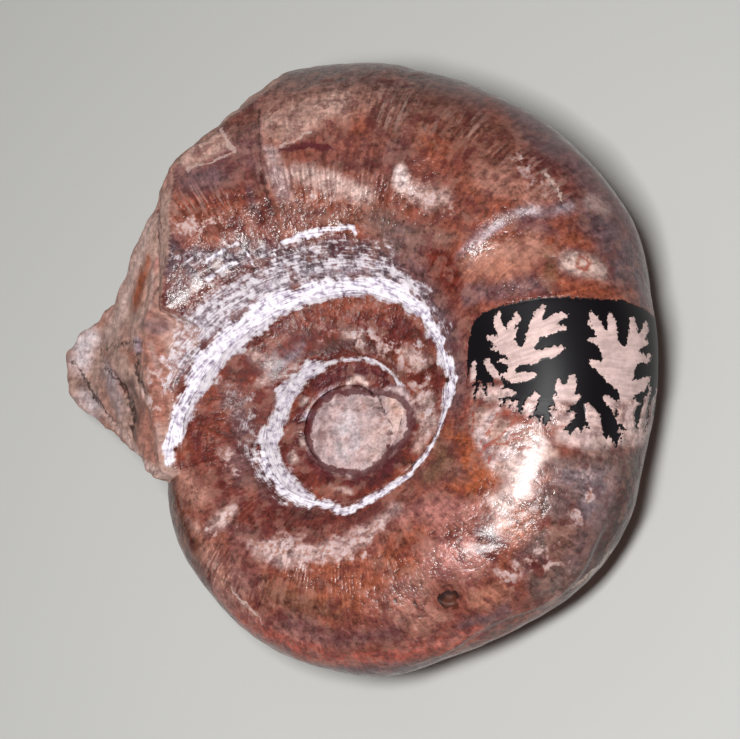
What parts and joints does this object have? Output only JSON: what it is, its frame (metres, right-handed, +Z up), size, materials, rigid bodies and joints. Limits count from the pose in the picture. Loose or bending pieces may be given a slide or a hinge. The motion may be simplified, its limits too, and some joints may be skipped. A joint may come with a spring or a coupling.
{
  "type": "fossil ammonite",
  "caption": "Coiled fossil ammonite shell in polished red-brown stone, with pale crust in its seams and a broken outer end, lying on its side.",
  "frame": {"origin": "centre of the bounding box's bottom face, on the surface the shell lies on", "axes": "+Z up, the side with the open coil and the suture patch faces up; +Y away from the viewer; the broken end is toward -X"},
  "size_m": [0.119, 0.1138, 0.0434],
  "materials": {
    "varnished_stone": "varnished, glossy over matt weathered stone"
  },
  "bodies": {
    "root": {"ammonite": "varnished_stone"}
  },
  "joints": []
}
